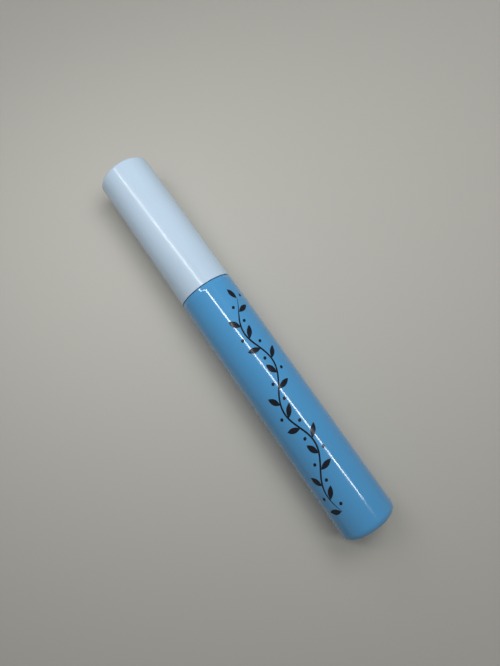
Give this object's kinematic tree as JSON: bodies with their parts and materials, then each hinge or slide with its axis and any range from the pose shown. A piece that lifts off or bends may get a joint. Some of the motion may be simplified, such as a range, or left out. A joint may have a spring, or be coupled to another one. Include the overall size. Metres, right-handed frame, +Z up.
{
  "type": "mascara tube",
  "caption": "Slim round mascara tube lying on its side: a threaded hollow bottle with a wiper in its neck, and a screw cap that carries a rod and a twisted-wire brush.",
  "frame": {"origin": "on the surface the tube lies on, under the middle of its length", "axes": "+X along the tube's axis from the bottle's base towards the top of the cap, +Z up from the surface"},
  "size_m": [0.119, 0.016, 0.016],
  "materials": {
    "bottle_plastic": "glossy opaque blue",
    "wiper_plastic": "soft natural polyethylene",
    "cap_plastic": "glossy pale ice white",
    "liner_plastic": "natural polypropylene",
    "gasket_foam": "soft white foam",
    "rod_plastic": "smooth white",
    "wire_steel": "drawn steel wire",
    "bristle_nylon": "black nylon strands"
  },
  "bodies": {
    "bottle": {"bottle": "bottle_plastic", "wiper": "wiper_plastic"},
    "gasket": {"gasket": "gasket_foam"},
    "rod": {"rod": "rod_plastic"},
    "cap": {"outer_cap": "cap_plastic", "inner_cap": "liner_plastic", "brush_wire": "wire_steel", "bristles": "bristle_nylon"}
  },
  "joints": [
    {"name": "cap_pull", "type": "slide", "parent": "bottle", "child": "gasket", "axis": [1, 0, 0], "range_m": [0, 0.085], "deforming": ["bristles"]},
    {"name": "thread_lift", "type": "slide", "parent": "gasket", "child": "rod", "axis": [1, 0, 0], "range_m": [0, 0.0036]},
    {"name": "cap_twist", "type": "hinge", "parent": "rod", "child": "cap", "pos_m": [0.017, 0, 0.00798], "axis": [1, 0, 0], "range_deg": [0, 540]}
  ],
  "couplings": [
    {"joint": "thread_lift", "follows": "cap_twist", "m_per_rad": 0.00038197}
  ]
}
